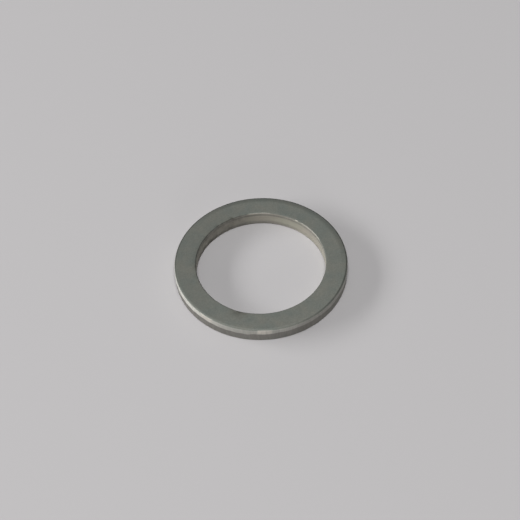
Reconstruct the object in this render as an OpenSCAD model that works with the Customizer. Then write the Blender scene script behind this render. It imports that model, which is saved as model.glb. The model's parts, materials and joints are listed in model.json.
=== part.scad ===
// Punched aluminium sealing ring, lying flat on its lower face with its bore along +Z.
// The origin is the centre of the bore at the lower face, and all sizes are in millimetres.
// The punch rolled over both edges of the upper face and left a smooth land below the outer one.
// Under the land the outer wall broke away in a slight taper, down to the deburred lower edge.

/* [Ring] */
// Outer diameter, measured across the smooth land
outer_d = 16; // [14:0.5:24]
// Diameter of the bore that the screw plug passes through
bore_d = 12; // [6:0.5:14]
// Thickness between the two sealing faces
thickness = 1.5; // [1:0.1:4]

/* [Punched edges] */
// Radius of the rolled edge round the outside of the upper face
outer_roll_r = 0.2; // [0.1:0.05:0.5]
// Radius of the rolled edge round the bore in the upper face
bore_roll_r = 0.1; // [0.05:0.05:0.5]
// Height of the smooth land below the outer rolled edge
land_h = 0.4; // [0.1:0.05:0.8]
// How far the outer wall tapers in from the land to the lower face
break_taper = 0.04; // [0:0.01:0.15]
// Radius of the deburred edges, outer and bore, round the lower face
deburr_r = 0.12; // [0.05:0.01:0.3]

/* [Hidden] */
// Dull grey-green of tumbled aluminium
metal_colour = "#6D726C";
// Straight pieces in a full circle
$fn = 180;
outer_r = outer_d / 2;
bore_r = bore_d / 2;
// Height at which the smooth land ends and the tapered break begins
break_h = thickness - outer_roll_r - land_h;
// Outer radius where the tapered break meets the deburred lower edge
lower_r = outer_r - break_taper;

// Half section through the ring: straight stretches, with a disc at each corner
module ring_section() {
    polygon([
        [bore_r + deburr_r, 0],
        [lower_r - deburr_r, 0],
        [lower_r, deburr_r],
        [outer_r, break_h],
        [outer_r, break_h + land_h],
        [outer_r - outer_roll_r, thickness],
        [bore_r + bore_roll_r, thickness],
        [bore_r, thickness - bore_roll_r],
        [bore_r, deburr_r]
    ]);
    edge_arc(outer_r - outer_roll_r, thickness - outer_roll_r, outer_roll_r);
    edge_arc(bore_r + bore_roll_r, thickness - bore_roll_r, bore_roll_r);
    edge_arc(lower_r - deburr_r, deburr_r, deburr_r);
    edge_arc(bore_r + deburr_r, deburr_r, deburr_r);
}

// Disc that fills one corner of the section out to its rounded edge
module edge_arc(x, z, r) {
    translate([x, z])
        circle(r);
}

// The whole ring, turned from its section about the bore's axis
module sealing_ring() {
    color(metal_colour)
        rotate_extrude()
            ring_section();
}

sealing_ring();
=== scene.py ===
"""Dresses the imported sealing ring: its tumbled aluminium, the pale floor, the light and the camera."""
import json
from collections import namedtuple
from math import cos, radians, sin, tau
from types import SimpleNamespace

import bpy
import numpy as np
from bpy.props import FloatProperty, FloatVectorProperty, IntProperty, PointerProperty
from mathutils import Matrix, Vector


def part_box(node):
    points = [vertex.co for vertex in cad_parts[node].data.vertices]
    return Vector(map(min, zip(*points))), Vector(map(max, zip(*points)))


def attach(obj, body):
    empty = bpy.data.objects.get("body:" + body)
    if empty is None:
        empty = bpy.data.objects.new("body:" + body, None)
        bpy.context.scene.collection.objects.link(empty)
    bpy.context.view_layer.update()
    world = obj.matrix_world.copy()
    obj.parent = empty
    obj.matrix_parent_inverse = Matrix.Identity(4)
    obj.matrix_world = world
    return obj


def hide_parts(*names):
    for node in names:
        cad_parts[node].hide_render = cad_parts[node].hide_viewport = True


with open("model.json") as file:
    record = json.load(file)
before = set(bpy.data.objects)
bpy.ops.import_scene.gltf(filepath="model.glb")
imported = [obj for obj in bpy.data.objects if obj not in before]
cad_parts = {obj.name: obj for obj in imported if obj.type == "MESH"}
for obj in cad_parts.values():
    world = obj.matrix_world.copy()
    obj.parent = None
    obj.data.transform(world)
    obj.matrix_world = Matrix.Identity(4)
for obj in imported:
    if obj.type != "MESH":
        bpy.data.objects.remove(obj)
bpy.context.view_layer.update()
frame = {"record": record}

bl_info = {
    "name": "Sealing ring",
    "version": (1, 0, 0),
    "blender": (4, 5, 0),
    "location": "View3D > Sidebar > Sealing ring",
    "description": "Makes a punched and tumbled aluminium sealing ring and the stage it lies on",
    "category": "Object",
}

# A millimetre, the ring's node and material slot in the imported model, and its sizes there, in metres
MM = 0.001
RING_NODE = "sealing_ring"
BORE = next(mount for mount in frame["record"]["mounts"] if mount["name"] == "bore")
BORE_RADIUS = BORE["dims"]["r_mm"] * MM
OUTER_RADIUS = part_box(RING_NODE)[1][0]
MIDDLE_RADIUS = (OUTER_RADIUS + BORE_RADIUS) / 2
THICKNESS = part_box(RING_NODE)[1][2]

# Mesh steps along each stretch of the section
STEPS = {
    "lower face": 12, "lower edge": 7, "break": 20, "land": 8,
    "outer roll": 14, "upper face": 24, "bore roll": 10, "bore": 20,
}

# Sides of the ring where its finish changes, most of them by painted light or shade. Turns are in degrees,
# counter-clockwise from +X seen from above, so that 270 faces the camera. A side has its full strength up
# to half its reach, either way.
Side = namedtuple("Side", "turn reach strength")
# Painted shade on the bore's side away from the window
SHADED_BORE_SIDE = Side(150, 62, 0.44)
# Painted shade at the bore's foot on that side
SHADED_BORE_FOOT = Side(121, 76, 0.66)
# Painted shade on the face's outer rim at the back and right
SHADED_RIM = Side(70, 88, 0.4)
DARK_FACE = Side(168, 80, 0.14)
# Painted light: less of the darker colour on the rolled edges towards the camera
LIT_ROLL = Side(288, 130, 0.6)
# Painted shade: a dimmer land at the front right and right
SHADED_LAND = (Side(298, 84, 0.41), Side(325, 42, 0.4))
# Painted light: a little of the land's brightness on the torn wall in front
LIT_WALL = Side(272, 28, 0.09)

# Spots rubbed smoother, on the land or on the bore's upper edge, with half widths in degrees of turn; their
# bright colour is partly a painted highlight of the lamps
HighlightRub = namedtuple("HighlightRub", "turn half_width on_land strength")
HIGHLIGHT_RUBS = (
    HighlightRub(270.6, 4.8, True, 0.5),
    HighlightRub(268.6, 2.4, True, 0.25),
    HighlightRub(229.5, 5.0, True, 0.6),
    HighlightRub(90.0, 10.0, False, 0.36),
    HighlightRub(54.7, 1.3, False, 0.6),
    HighlightRub(37.0, 13.0, False, 0.35),
    HighlightRub(65.0, 15.0, False, 0.13),
)
# A highlight rub fades out between these shares of its half width
HIGHLIGHT_RUB_EDGE = (1.2, 0.8)

# Nicks at the bore's upper or lower edge: length round it, reach across it and depth, in millimetres
Nick = namedtuple("Nick", "turn upper length reach depth")
NICKS = (
    Nick(249.0, True, 1.30, 0.60, 0.028),
    Nick(54.7, True, 0.16, 0.08, 0.025),
    Nick(107.0, True, 0.30, 0.18, 0.026),
    Nick(114.5, True, 0.40, 0.24, 0.038),
    Nick(121.0, True, 0.34, 0.20, 0.030),
    Nick(128.5, True, 0.30, 0.18, 0.034),
    Nick(116.5, False, 0.14, 0.09, 0.040),
    Nick(143.0, True, 0.16, 0.08, 0.025),
)
# The half width of a nick's bell as a share of its length, and the depth at which a nick's painted shade is
# full
NICK_BELL = 0.6
NICK_SHADE_DEPTH = 0.035 * MM

# Fades across the section, from where a finish ends to where it is full. They are shares of the climb
# up a rolled edge: 0 at its foot, 1 at the upper face and negative down the wall. A highlight rub fades at
# both ends.
LAND_TOP = (0.75, 0.25)
ROLL_FOOT = (0.3, 0.7)
ROLL_TOP = (1.0, 0.95)
TORN_WALL_TOP = (0.3, 0.0)
TORN_BORE_TOP = (0.8, 0.3)
BORE_SKIN_TOP = (0.6, 0.0)
LAND_HIGHLIGHT_RUB = ((-2.0, -1.2), (0.8, 0.5))
EDGE_HIGHLIGHT_RUB = ((0.2, 0.4), (0.97, 0.9))
# Fades in metres: down from the upper face for the band of painted shade under the bore's edge, up from the
# lower face for the bore's foot, where shade is painted on one side, and in from the outer edge for the rim
# of painted shade
BAND_TOP = (0.12 * MM, 0.2 * MM)
BAND_FOOT = (0.45 * MM, 0.25 * MM)
BORE_FOOT = (0.65 * MM, 0.25 * MM)
RIM = (0.7 * MM, 0.3 * MM)
# How far in from a wall its finish ends, as shares of the deburred edge
WALL_END = (0.4, 0.1)
# How far in from a wall the metal still counts as torn, as a share of the rolled edge
TORN_REACH = 0.9
# How much of its lighter colour the bore lacks in the band of painted shade, and how much of the darker
# edge colour its rolled edge has
BAND_LOSS = 0.8
BORE_ROLL_SKIN = 0.7
# How far the painted shade on the bore's side away from the window reaches out from the bore, how thick it
# lies, and how much more at its foot
SHADE_REACH = 0.45 * MM
SHADE_ON_BORE = 0.9
SHADE_MORE_AT_FOOT = 0.7

# The ragged foot of the land: its numbers of waves round the ring, how far they swing and its softness
WEAR_SEED = 7
RAGGED_WAVES = np.arange(2, 60)
RAGGED_SWING = 0.025 * MM
RAGGED_SOFT = 0.03 * MM

# The torn wall: how many waves make it up, the range of their numbers round the ring, the least height
# in which one goes through a full wave, and its depth with the swing and the limit of the waves
TEAR_COUNT = 28
TEARS_ROUND = (12, 110)
TEAR_RISE = 0.5 * MM
TEAR_DEPTH = 0.012 * MM
TEAR_SWING = 0.02 * MM
TEAR_LIMIT = 0.5

# Sizes of the metal's patterns in millimetres, and the height of the finest marks in metres.
# The grain is drawn a little coarser than real so that it shows.
PATCH_MM = 1.6
BLOT_MM = 0.5
GRAIN_MM = 0.12
STREAK_MM = 0.16
BAND_MM = 0.2
MARK_HEIGHT = 0.01 * MM
# Streaks are drawn out down the wall, and bands round the bore, by these shares of the noise's scale
STREAK_STRETCH = 0.15
BAND_STRETCH = 0.08
# How far the dark skin takes the faces towards the roughness of the walls
DARK_SKIN_DULLS = 0.4

# The lamps: turn and height in degrees, then distance, width and length in metres
Lamp = namedtuple("Lamp", "name turn height distance width length")
LAMPS = (
    Lamp("window", 176, 21, 0.6, 0.55, 0.13),
    Lamp("fill", 272, 12, 0.6, 0.2, 0.1),
    Lamp("softbox", 272, 68, 0.8, 0.25, 0.4),
)
# The glow behind the ring: the turn and height of its middle, and the cosines at its edge and core
GLOW_TURN = 90
GLOW_HEIGHT = 60
GLOW_EDGE = 0.72
GLOW_CORE = 0.95

# Half the floor's width, and how far it lies under the ring so that the two don't share a plane
FLOOR_HALF = 1.0
FLOOR_GAP = 0.005 * MM

# The photograph's width and the focal length in pixels, and where the upper face's centre lies
PHOTO_PIXELS = 520
FOCAL_PIXELS = 2243
RING_PIXEL = (260.4, 261.8)
# The turn at which the camera stands, in degrees, and how near to it things are still drawn, in metres
CAMERA_TURN = -90
NEAR_CLIP = 0.01


def linear(code):
    """The linear colour of an sRGB hex code such as #BEBCBD."""
    srgb = np.array([int(code[i:i + 2], 16) for i in (1, 3, 5)]) / 255
    return tuple(np.where(srgb <= 0.04045, srgb / 12.92, ((srgb + 0.055) / 1.055) ** 2.4))


class RingSizes(bpy.types.PropertyGroup):
    """Sizes of the ring's section that its box doesn't give, and the steps of its mesh."""

    outer_roll: FloatProperty(
        name="Outer rolled edge", description="Radius of the rolled edge outside the upper face",
        default=0.2 * MM, unit="LENGTH", precision=5)
    bore_roll: FloatProperty(
        name="Bore rolled edge", description="Radius of the rolled edge round the bore",
        default=0.1 * MM, unit="LENGTH", precision=5)
    land: FloatProperty(
        name="Smooth land", description="Height of the smooth land below the outer rolled edge",
        default=0.4 * MM, unit="LENGTH", precision=5)
    taper: FloatProperty(
        name="Break taper", description="How far the wall tapers in below the land",
        default=0.04 * MM, unit="LENGTH", precision=5)
    deburr: FloatProperty(
        name="Deburred edge", description="Radius of the edges round the lower face",
        default=0.12 * MM, unit="LENGTH", precision=5)
    steps_round: IntProperty(
        name="Steps round", description="Mesh steps round the ring", default=640, min=64)


class RingFinish(bpy.types.PropertyGroup):
    """Colours and roughness of the ring's metal."""

    face: FloatVectorProperty(
        name="Face", description="Dull tumbled metal of the flat faces",
        subtype="COLOR", size=3, default=linear("#96978F"))
    face_patch: FloatVectorProperty(
        name="Face patches", description="Cooler patches in the flat faces",
        subtype="COLOR", size=3, default=linear("#8D928C"))
    # Also the painted shade on the outer rim at the back and right; the rolled edges towards the camera
    # have less of it, as painted light
    rolled: FloatVectorProperty(
        name="Dark skin", description="Darker skin on the rolled edges and, in places, on the face",
        subtype="COLOR", size=3, default=linear("#5A5D58"))
    land: FloatVectorProperty(
        name="Smooth land", description="Bright metal that the punch rubbed smooth",
        subtype="COLOR", size=3, default=linear("#D9D8D2"))
    sheared: FloatVectorProperty(
        name="Sheared wall", description="Torn metal under the land and at the top of the bore",
        subtype="COLOR", size=3, default=linear("#94928D"))
    bore: FloatVectorProperty(
        name="Bore", description="Lighter, warmer metal down the bore",
        subtype="COLOR", size=3, default=linear("#BEB9B0"))
    bore_patch: FloatVectorProperty(
        name="Bore patches", description="Olive patches down the bore",
        subtype="COLOR", size=3, default=linear("#B9B8AC"))
    # Also the painted highlights where the lamps reflect on the land and the bore's upper edge
    rub_and_highlight: FloatVectorProperty(
        name="Burnished spots", description="Bare bright metal where the edges have been rubbed",
        subtype="COLOR", size=3, default=linear("#DFDAD1"))
    # Painted shade: in the nicks, on the bore's side away from the window and at its foot
    painted_shade: FloatVectorProperty(
        name="Grime", description="Dirt in the nicks and on the dull side of the bore",
        subtype="COLOR", size=3, default=linear("#55534A"))
    face_roughness: FloatProperty(
        name="Face roughness", description="Roughness of the flat faces",
        default=0.66, min=0, max=1)
    wall_roughness: FloatProperty(
        name="Wall roughness", description="Roughness of the land, the torn wall and the bore",
        default=0.9, min=0, max=1)
    burnished_roughness: FloatProperty(
        name="Burnished roughness", description="Roughness of the burnished spots",
        default=0.6, min=0, max=1)


class StageLook(bpy.types.PropertyGroup):
    """The floor's colour, the strength of the light and the place of the camera."""

    floor: FloatVectorProperty(
        name="Floor", description="Colour of the floor", subtype="COLOR", size=3, default=linear("#BEBCBD"))
    window_power: FloatProperty(
        name="Window", description="Power of the long lamp at the left", default=3.1, min=0, unit="POWER")
    fill_power: FloatProperty(
        name="Fill", description="Power of the low lamp in front", default=0.4, min=0, unit="POWER")
    softbox_power: FloatProperty(
        name="Softbox", description="Power of the lamp overhead", default=4.25, min=0, unit="POWER")
    room_strength: FloatProperty(
        name="Room", description="Strength of the light from all round", default=0.04, min=0)
    glow_strength: FloatProperty(
        name="Glow", description="Strength of the glow from behind", default=0.32, min=0)
    camera_distance: FloatProperty(
        name="Camera distance", description="From the upper face's centre to the camera",
        default=206.9 * MM, unit="LENGTH")
    camera_elevation: FloatProperty(
        name="Camera elevation", description="Height of the camera above the floor, as an angle",
        default=radians(50.2), subtype="ANGLE")
    camera_roll: FloatProperty(
        name="Camera roll", description="Turn of the camera about its line of sight",
        default=radians(-2.38), subtype="ANGLE")


def node(tree, kind, inputs=None, **settings):
    """Adds a node with its settings, and fills its inputs with values or with links from other sockets."""
    made = tree.nodes.new(kind)
    for name, value in settings.items():
        setattr(made, name, value)
    for name, value in (inputs or {}).items():
        if isinstance(value, bpy.types.NodeSocket):
            tree.links.new(value, made.inputs[name])
        else:
            made.inputs[name].default_value = value
    return made


def per_metre(size_mm):
    """The noise scale whose features are about that many millimetres across."""
    return 1 / (size_mm * MM)


def fade(x, none, full):
    """0 where x is at none or beyond, 1 where it is at full or beyond, and a smooth change between them."""
    share = np.clip((x - none) / (full - none), 0, 1)
    return share * share * (3 - 2 * share)


def apart(turn, other):
    """The angle between two turns, in degrees from 0 to 180."""
    return np.abs((turn - other + 180) % 360 - 180)


def side_weight(turn, side):
    """The side's strength up to half its reach from its middle turn, fading to 0 at its reach."""
    return side.strength * fade(apart(turn, side.turn), side.reach, side.reach / 2)


def stretch(start, end, steps):
    """Points from start towards end, without the end itself."""
    share = np.linspace(0, 1, steps, endpoint=False)[:, None]
    return np.array(start) * (1 - share) + np.array(end) * share


def arc(centre, radius, first_deg, steps):
    """Points of a quarter circle about centre from first_deg onwards, without its last point."""
    angle = np.radians(first_deg + np.linspace(0, 90, steps, endpoint=False))
    return np.array(centre) + radius * np.c_[np.cos(angle), np.sin(angle)]


def ring_section(sizes):
    """The closed half section as (radius, height) points, counter-clockwise from the bore's lower edge.

    Straight stretches run along the lower face, the tapered break, the land, the upper face and the bore,
    and a quarter circle rounds each of the four corners.
    """
    low = OUTER_RADIUS - sizes.taper
    deburr, roll, inner = sizes.deburr, sizes.outer_roll, sizes.bore_roll
    break_height = THICKNESS - roll - sizes.land
    return np.concatenate([
        stretch((BORE_RADIUS + deburr, 0), (low - deburr, 0), STEPS["lower face"]),
        arc((low - deburr, deburr), deburr, -90, STEPS["lower edge"]),
        stretch((low, deburr), (OUTER_RADIUS, break_height), STEPS["break"]),
        stretch((OUTER_RADIUS, break_height), (OUTER_RADIUS, THICKNESS - roll), STEPS["land"]),
        arc((OUTER_RADIUS - roll, THICKNESS - roll), roll, 0, STEPS["outer roll"]),
        stretch((OUTER_RADIUS - roll, THICKNESS), (BORE_RADIUS + inner, THICKNESS), STEPS["upper face"]),
        arc((BORE_RADIUS + inner, THICKNESS - inner), inner, 90, STEPS["bore roll"]),
        stretch((BORE_RADIUS, THICKNESS - inner), (BORE_RADIUS, deburr), STEPS["bore"]),
        arc((BORE_RADIUS + deburr, deburr), deburr, 180, STEPS["lower edge"]),
    ])


def outward(section):
    """The outward unit normal at each point of the section, from the points before and after it."""
    along = np.roll(section, -1, axis=0) - np.roll(section, 1, axis=0)
    normal = np.c_[along[:, 1], -along[:, 0]]
    return normal / np.linalg.norm(normal, axis=1)[:, None]


def carry_round(section, depth):
    """The section carried round the bore's axis, pulled in along its normals by the grid of depths.

    (radius, height) at the turn a becomes (radius cos a, radius sin a, height).
    """
    angle = np.linspace(0, tau, depth.shape[0], endpoint=False)[:, None]
    normal = outward(section)
    radius = section[:, 0] - depth * normal[:, 0]
    height = section[:, 1] - depth * normal[:, 1]
    return np.stack([radius * np.cos(angle), radius * np.sin(angle), height], axis=-1)


def make_mesh(name, points):
    """A closed mesh from a grid of points that wraps both ways, with a face between each four neighbours.

    The faces point outwards.
    """
    rounds, along = points.shape[:2]
    index = np.arange(rounds * along).reshape(rounds, along)
    right = np.roll(index, -1, axis=0)
    faces = np.stack([index, right, np.roll(right, -1, axis=1), np.roll(index, -1, axis=1)], axis=-1)
    mesh = bpy.data.meshes.new(name)
    mesh.from_pydata(points.reshape(-1, 3), [], faces.reshape(-1, 4))
    mesh.shade_smooth()
    return mesh


def ring_grid(section, sizes):
    """What the finish depends on: arrays along the section, and the turn in degrees as a column.

    wall is how far a point lies in from the foot of the outer wall, or out from the bore. climb is the
    share of a rolled edge that lies below the point, and foot is 1 at the foot of the walls, 0 well above.
    """
    radius, height = section.T
    outside = radius > MIDDLE_RADIUS
    roll = np.where(outside, sizes.outer_roll, sizes.bore_roll)
    return SimpleNamespace(
        turn=np.linspace(0, 360, sizes.steps_round, endpoint=False)[:, None],
        radius=radius,
        height=height,
        outside=outside,
        roll=roll,
        wall=np.where(outside, OUTER_RADIUS - sizes.taper - radius, radius - BORE_RADIUS),
        climb=(height - THICKNESS + roll) / roll,
        foot=fade(height, *BORE_FOOT))


def sheared_weight(grid, on_wall):
    """Torn metal: the outer wall below its rolled edge, and the bore below the middle of its own."""
    outer = on_wall * fade(grid.climb, *TORN_WALL_TOP)
    torn = np.where(grid.outside, outer, fade(grid.climb, *TORN_BORE_TOP))
    return torn * (grid.wall < TORN_REACH * grid.roll)


def ragged_line(steps):
    """A ragged line round the ring: sines of many numbers of waves, each smaller the more waves it has."""
    angle = np.linspace(0, tau, steps, endpoint=False)[:, None]
    phases = np.random.default_rng(WEAR_SEED).uniform(0, tau, RAGGED_WAVES.size)
    return (np.sin(RAGGED_WAVES * angle + phases) / np.sqrt(RAGGED_WAVES)).sum(axis=1)[:, None]


def land_weight(grid, on_wall, sheared, sizes):
    """The bright land, from its ragged foot up to its rolled edge, less at the front right and right as
    painted shade.

    The torn wall below it has a little of the same brightness at the front, as painted light.
    """
    foot = THICKNESS - sizes.outer_roll - sizes.land + RAGGED_SWING * ragged_line(sizes.steps_round)
    above_foot = fade(grid.height, foot - RAGGED_SOFT, foot + RAGGED_SOFT)
    land = grid.outside * on_wall * above_foot * fade(grid.climb, *LAND_TOP)
    for dimmed_side in SHADED_LAND:
        land = land * (1 - side_weight(grid.turn, dimmed_side))
    return np.maximum(land, grid.outside * sheared * side_weight(grid.turn, LIT_WALL))


def rolled_weight(grid, sheared):
    """The darker colour, as the strongest of three weights.

    It lies on both rolled edges, less towards the camera as painted light, on the face's outer rim at the
    back and right as painted shade, and thinly on the face at another side.
    """
    above_foot = fade(grid.climb, *ROLL_FOOT)
    edges = np.where(grid.outside, 1, BORE_ROLL_SKIN) * above_foot * fade(grid.climb, *ROLL_TOP)
    edges = edges * (1 - side_weight(grid.turn, LIT_ROLL))
    rim = above_foot * fade(OUTER_RADIUS - grid.radius, *RIM) * side_weight(grid.turn, SHADED_RIM)
    face = (grid.height > THICKNESS / 2) * (1 - sheared) * side_weight(grid.turn, DARK_FACE)
    return np.maximum(np.maximum(edges, rim), face)


def bore_weight(grid, sheared):
    """The bore's lighter colour, thinned where shade is painted: in a band under its edge, at its foot on
    one side, and on its side away from the window.
    """
    below = THICKNESS - grid.height
    band = fade(below, *BAND_TOP) * fade(below, *BAND_FOOT)
    bore = ~grid.outside * sheared * (1 - BAND_LOSS * band) * fade(grid.climb, *BORE_SKIN_TOP)
    bore = bore * (1 - grid.foot * side_weight(grid.turn, SHADED_BORE_FOOT))
    return bore * (1 - side_weight(grid.turn, SHADED_BORE_SIDE))


def highlight_rub_weight(grid):
    """The rubbed spots with their painted highlights, each with its strength across its half width, on the
    land or the bore's edge.
    """
    on_land = grid.outside * fade(grid.climb, *LAND_HIGHLIGHT_RUB[0]) * fade(grid.climb, *LAND_HIGHLIGHT_RUB[1])
    on_edge = ~grid.outside * fade(grid.climb, *EDGE_HIGHLIGHT_RUB[0]) * fade(grid.climb, *EDGE_HIGHLIGHT_RUB[1])
    none, full = HIGHLIGHT_RUB_EDGE
    return sum(
        highlight_rub.strength * fade(apart(grid.turn, highlight_rub.turn), none * highlight_rub.half_width, full * highlight_rub.half_width)
        * (on_land if highlight_rub.on_land else on_edge)
        for highlight_rub in HIGHLIGHT_RUBS)


def painted_shade_weight(grid, nicks, sizes):
    """Painted shade on and near the bore's side away from the window, thicker at its foot, and in the nicks
    by their depth.
    """
    near_bore = fade(grid.radius, BORE_RADIUS + SHADE_REACH, BORE_RADIUS) * (grid.height > sizes.deburr)
    thickness = SHADE_ON_BORE + SHADE_MORE_AT_FOOT * grid.foot
    on_bore = thickness * side_weight(grid.turn, SHADED_BORE_SIDE) * near_bore
    return np.maximum(on_bore, (nicks / NICK_SHADE_DEPTH).clip(0, 1))


def finish_weights(section, nicks, sizes):
    """How far each grid point belongs to each finish, from 0 to 1, by the finish's name."""
    grid = ring_grid(section, sizes)
    none, full = WALL_END
    on_wall = fade(grid.wall, none * sizes.deburr, full * sizes.deburr)
    sheared = sheared_weight(grid, on_wall)
    weights = {
        "land": land_weight(grid, on_wall, sheared, sizes),
        "sheared": sheared,
        "bore": bore_weight(grid, sheared),
        "rolled": rolled_weight(grid, sheared),
        "rub_and_highlight": highlight_rub_weight(grid),
        "painted_shade": painted_shade_weight(grid, nicks, sizes),
    }
    return {name: np.broadcast_to(weight, nicks.shape) for name, weight in weights.items()}


def torn_relief(section, weights, sizes):
    """Depth of the torn metal under the land: a step in from the land, with waves round and up the wall."""
    draw = np.random.default_rng(WEAR_SEED + 1)
    angle = np.linspace(0, tau, sizes.steps_round, endpoint=False)[:, None, None]
    rounds = draw.integers(*TEARS_ROUND, TEAR_COUNT)
    rises = draw.uniform(-1, 1, TEAR_COUNT) * tau / TEAR_RISE
    phases = draw.uniform(0, tau, TEAR_COUNT)
    waves = np.sin(rounds * angle + rises * section[:, 1, None] + phases).mean(axis=-1)
    torn = weights["sheared"] * (1 - weights["land"]) * (section[:, 0] > MIDDLE_RADIUS)
    return torn * (TEAR_DEPTH + TEAR_SWING * waves.clip(-TEAR_LIMIT, TEAR_LIMIT))


def nick_depth(section, steps):
    """Depth of the small nicks: each is a bell in the distance round the edge and across it."""
    turn = np.linspace(0, 360, steps, endpoint=False)[:, None]
    depth = np.zeros((steps, section.shape[0]))
    for nick in NICKS:
        edge = (BORE_RADIUS, THICKNESS if nick.upper else 0)
        round_edge = BORE_RADIUS * np.radians(apart(turn, nick.turn)) / (NICK_BELL * nick.length * MM)
        across = np.hypot(*(section - edge).T) / (nick.reach * MM)
        depth = np.maximum(depth, nick.depth * MM * np.exp(-round_edge ** 2 - across ** 2))
    return depth


def zone_colour(tree, place, zone, finish):
    """The metal's colour: the faces' patchy skin, with each zone's colour laid over it by its weight; some
    zones are painted light and shade.
    """
    # Cooler patches a millimetre or two across in the skin of the faces and of the bore
    patches = node(
        tree, "ShaderNodeTexNoise", {"Vector": place, "Scale": per_metre(PATCH_MM), "Detail": 3.0})
    patch = node(
        tree, "ShaderNodeMapRange",
        {"Value": patches.outputs["Fac"], "From Min": 0.35, "From Max": 0.65}).outputs["Result"]
    # Painted shade in small blots
    blots = node(tree, "ShaderNodeTexNoise", {"Vector": place, "Scale": per_metre(BLOT_MM), "Detail": 2.0})
    blot = node(
        tree, "ShaderNodeMapRange",
        {"Value": blots.outputs["Fac"], "From Min": 0.4, "From Max": 0.64, "To Min": 0.25, "To Max": 0.85})
    painted_shade = node(
        tree, "ShaderNodeMath", {0: zone["painted_shade"], 1: blot.outputs["Result"]}, operation="MULTIPLY")
    skin, bore_skin = (
        node(
            tree, "ShaderNodeMix",
            {"Factor": patch, "A": (*plain, 1), "B": (*patched, 1)}, data_type="RGBA").outputs["Result"]
        for plain, patched in ((finish.face, finish.face_patch), (finish.bore, finish.bore_patch)))
    layers = (
        (zone["rolled"], (*finish.rolled, 1)),
        (zone["sheared"], (*finish.sheared, 1)),
        (zone["bore"], bore_skin),
        (zone["land"], (*finish.land, 1)),
        (zone["rub_and_highlight"], (*finish.rub_and_highlight, 1)),
        (painted_shade.outputs["Value"], (*finish.painted_shade, 1)),
    )
    colour = skin
    for weight, layer in layers:
        colour = node(
            tree, "ShaderNodeMix",
            {"Factor": weight, "A": colour, "B": layer}, data_type="RGBA").outputs["Result"]
    return colour


def worked_pattern(tree, place, zone):
    """Marks of the making, as noise about 0.5.

    They are tumbling grain on the faces, streaks that the punch drew down the outer wall, narrow round the
    ring and long down it, and bands round the bore, long along it and narrow down it.
    """
    marks = (
        (GRAIN_MM, (1, 1, 1)),
        (STREAK_MM, (1, 1, STREAK_STRETCH)),
        (BAND_MM, (BAND_STRETCH, BAND_STRETCH, 1)),
    )
    noises = []
    for size_mm, scale in marks:
        drawn_out = node(tree, "ShaderNodeMapping", {"Vector": place, "Scale": scale}).outputs["Vector"]
        noises.append(node(
            tree, "ShaderNodeTexNoise",
            {"Vector": drawn_out, "Scale": per_metre(size_mm), "Detail": 2.0}).outputs["Fac"])
    grain, streaks, bands = noises
    on_walls = node(
        tree, "ShaderNodeMix", {"Factor": zone["bore"], "A": streaks, "B": bands}).outputs["Result"]
    return node(
        tree, "ShaderNodeMix", {"Factor": zone["sheared"], "A": grain, "B": on_walls}).outputs["Result"]


def tumbled_aluminium(finish, zones):
    """Aluminium punched from sheet and tumbled.

    The faces have a dull grey-green skin with faint cooler patches, darker on the rolled edges, less so
    towards the camera as painted light, and with painted shade on the outer rim at the back and right. The
    land under the outer edge is bright, with painted shade at its front right and right, the torn wall is
    streaked, a little lighter in front as painted light, the bore is lighter and warmer with painted shade
    on the side away from the window, at its foot, under its edge and in the nicks, and a few rubbed spots
    are smoother, with painted highlights of the lamps.
    """
    material = bpy.data.materials.new("tumbled_aluminium")
    material.use_nodes = True
    tree = material.node_tree
    tree.nodes.clear()
    place = node(tree, "ShaderNodeTexCoord").outputs["Object"]
    zone = {name: node(tree, "ShaderNodeAttribute", attribute_name=name).outputs["Fac"] for name in zones}
    pattern = worked_pattern(tree, place, zone)
    # The marks shade the metal a little either way
    shade = node(
        tree, "ShaderNodeMapRange",
        {"Value": pattern, "From Min": 0.25, "From Max": 0.75, "To Min": 0.9, "To Max": 1.1})
    metal = node(
        tree, "ShaderNodeVectorMath",
        {0: zone_colour(tree, place, zone, finish), "Scale": shade.outputs["Result"]},
        operation="SCALE").outputs["Vector"]
    # The walls are the roughest, and the dark skin is part of the way there
    duller = node(
        tree, "ShaderNodeMath", {0: zone["rolled"], 1: DARK_SKIN_DULLS, 2: zone["sheared"]},
        operation="MULTIPLY_ADD").outputs["Value"]
    unrubbed = node(
        tree, "ShaderNodeMix",
        {"Factor": duller, "A": finish.face_roughness, "B": finish.wall_roughness}).outputs["Result"]
    rough = node(
        tree, "ShaderNodeMix",
        {"Factor": zone["rub_and_highlight"], "A": unrubbed, "B": finish.burnished_roughness}).outputs["Result"]
    bump = node(
        tree, "ShaderNodeBump", {"Height": pattern, "Strength": 0.2, "Distance": MARK_HEIGHT})
    shader = node(tree, "ShaderNodeBsdfPrincipled", {
        "Base Color": metal, "Metallic": 1.0, "Roughness": rough, "Normal": bump.outputs["Normal"]})
    node(tree, "ShaderNodeOutputMaterial", {"Surface": shader.outputs["BSDF"]})
    return material


class RING_OT_make_ring(bpy.types.Operator):
    """Make the sealing ring's surface and finish in place of its plain solid"""

    bl_idname = "sealing_ring.make_ring"
    bl_label = "Make sealing ring"

    def execute(self, context):
        sizes = context.scene.ring_sizes
        section = ring_section(sizes)
        nicks = nick_depth(section, sizes.steps_round)
        weights = finish_weights(section, nicks, sizes)
        depth = np.maximum(torn_relief(section, weights, sizes), nicks)
        mesh = make_mesh("ring_surface", carry_round(section, depth))
        for name, weight in weights.items():
            mesh.attributes.new(name, "FLOAT", "POINT").data.foreach_set("value", weight.ravel())
        mesh.materials.append(tumbled_aluminium(context.scene.ring_finish, weights))
        piece = bpy.data.objects.new("ring_surface", mesh)
        context.scene.collection.objects.link(piece)
        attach(piece, "root")
        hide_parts(RING_NODE)
        return {"FINISHED"}


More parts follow.
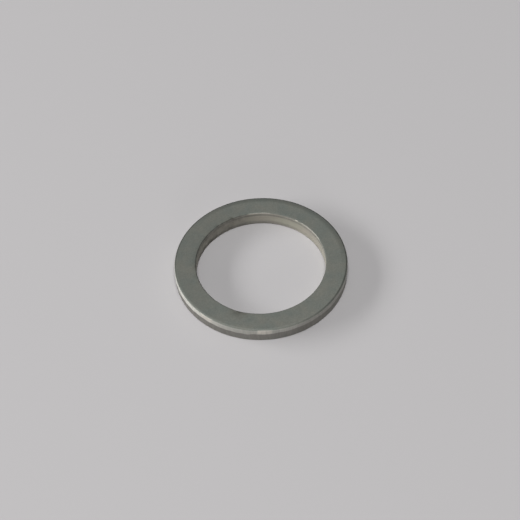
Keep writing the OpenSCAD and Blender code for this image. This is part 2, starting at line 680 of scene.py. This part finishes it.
def pale_board(colour):
    """Matt pale board, even all over: it takes the ring's soft shadow and mirrors almost nothing."""
    material = bpy.data.materials.new("pale_board")
    material.use_nodes = True
    shader = material.node_tree.nodes["Principled BSDF"]
    shader.inputs["Base Color"].default_value = (*colour, 1)
    shader.inputs["Roughness"].default_value = 0.9
    shader.inputs["Specular IOR Level"].default_value = 0.1
    return material


def lay_floor(scene, look):
    """One large square of pale board, a hair under the ring."""
    corners = ((-1, -1), (1, -1), (1, 1), (-1, 1))
    mesh = bpy.data.meshes.new("floor")
    mesh.from_pydata([(x * FLOOR_HALF, y * FLOOR_HALF, -FLOOR_GAP) for x, y in corners], [], [(0, 1, 2, 3)])
    mesh.materials.append(pale_board(look.floor))
    floor = bpy.data.objects.new("floor", mesh)
    scene.collection.objects.link(floor)


def direction(turn_deg, height_deg):
    """Unit vector towards a turn, counter-clockwise from +X, and a height angle above the floor."""
    turn, height = radians(turn_deg), radians(height_deg)
    return Vector((cos(height) * cos(turn), cos(height) * sin(turn), sin(height)))


def hang_lamp(scene, lamp, watts):
    """A rectangular soft lamp at its turn, height and distance, facing the ring."""
    light = bpy.data.lights.new(lamp.name, "AREA")
    light.shape = "RECTANGLE"
    light.size = lamp.width
    light.size_y = lamp.length
    light.energy = watts
    towards = direction(lamp.turn, lamp.height)
    hung = bpy.data.objects.new(lamp.name, light)
    hung.location = towards * lamp.distance
    hung.rotation_euler = towards.to_track_quat("Z", "Y").to_euler()
    scene.collection.objects.link(hung)


def light_room(scene, look):
    """A dim room with a soft round glow behind the ring, which the upper face shows to the camera.

    The glow follows the cosine of the angle from its middle.
    """
    world = bpy.data.worlds.new("room")
    world.use_nodes = True
    tree = world.node_tree
    tree.nodes.clear()
    way = node(tree, "ShaderNodeTexCoord").outputs["Generated"]
    cosine = node(
        tree, "ShaderNodeVectorMath", {0: way, 1: direction(GLOW_TURN, GLOW_HEIGHT)},
        operation="DOT_PRODUCT").outputs["Value"]
    glow = node(
        tree, "ShaderNodeMapRange", {
            "Value": cosine, "From Min": GLOW_EDGE, "From Max": GLOW_CORE,
            "To Min": look.room_strength, "To Max": look.glow_strength},
        interpolation_type="SMOOTHSTEP").outputs["Result"]
    back = node(tree, "ShaderNodeBackground", {"Color": (1, 1, 1, 1), "Strength": glow})
    node(tree, "ShaderNodeOutputWorld", {"Surface": back.outputs["Background"]})
    scene.world = world


def place_camera(scene, look):
    """Places the camera at the photograph's angle, with the upper face's centre at its pixel."""
    lens = bpy.data.cameras.new("camera")
    lens.sensor_fit = "HORIZONTAL"
    lens.lens = FOCAL_PIXELS / PHOTO_PIXELS * lens.sensor_width
    middle = (PHOTO_PIXELS - 1) / 2
    lens.shift_x = (middle - RING_PIXEL[0]) / PHOTO_PIXELS
    lens.shift_y = (RING_PIXEL[1] - middle) / PHOTO_PIXELS
    lens.clip_start = NEAR_CLIP
    back = direction(CAMERA_TURN, np.degrees(look.camera_elevation))
    right = Vector((1, 0, 0))
    up = back.cross(right)
    turned_right = cos(look.camera_roll) * right + sin(look.camera_roll) * up
    turned_up = cos(look.camera_roll) * up - sin(look.camera_roll) * right
    place = Matrix((turned_right, turned_up, back)).transposed().to_4x4()
    place.translation = Vector((0, 0, THICKNESS)) + back * look.camera_distance
    camera = bpy.data.objects.new("camera", lens)
    camera.matrix_world = place
    scene.collection.objects.link(camera)
    scene.camera = camera


class RING_OT_set_stage(bpy.types.Operator):
    """Lay the floor, hang the lamps and place the camera"""

    bl_idname = "sealing_ring.set_stage"
    bl_label = "Set stage"

    def execute(self, context):
        scene = context.scene
        look = scene.stage_look
        scene.view_settings.view_transform = "Standard"
        lay_floor(scene, look)
        for lamp, watts in zip(LAMPS, (look.window_power, look.fill_power, look.softbox_power)):
            hang_lamp(scene, lamp, watts)
        light_room(scene, look)
        place_camera(scene, look)
        return {"FINISHED"}


class RING_PT_panel(bpy.types.Panel):
    """Lists the ring's sizes and finish and the look of the stage, with a button for each operator"""

    bl_idname = "RING_PT_panel"
    bl_label = "Sealing ring"
    bl_space_type = "VIEW_3D"
    bl_region_type = "UI"
    bl_category = "Sealing ring"

    def draw(self, context):
        for group in (context.scene.ring_sizes, context.scene.ring_finish, context.scene.stage_look):
            for name in group.__annotations__:
                self.layout.prop(group, name)
        self.layout.operator(RING_OT_make_ring.bl_idname)
        self.layout.operator(RING_OT_set_stage.bl_idname)


CLASSES = (RingSizes, RingFinish, StageLook, RING_OT_make_ring, RING_OT_set_stage, RING_PT_panel)


def register():
    """Registers the classes and gives each scene its sizes, finish and stage."""
    for cls in CLASSES:
        bpy.utils.register_class(cls)
    bpy.types.Scene.ring_sizes = PointerProperty(type=RingSizes)
    bpy.types.Scene.ring_finish = PointerProperty(type=RingFinish)
    bpy.types.Scene.stage_look = PointerProperty(type=StageLook)


def unregister():
    """Takes back what register added."""
    del bpy.types.Scene.ring_sizes
    del bpy.types.Scene.ring_finish
    del bpy.types.Scene.stage_look
    for cls in reversed(CLASSES):
        bpy.utils.unregister_class(cls)


def main():
    """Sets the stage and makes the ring."""
    register()
    bpy.ops.sealing_ring.set_stage()
    bpy.ops.sealing_ring.make_ring()


if __name__ == "__main__":
    main()
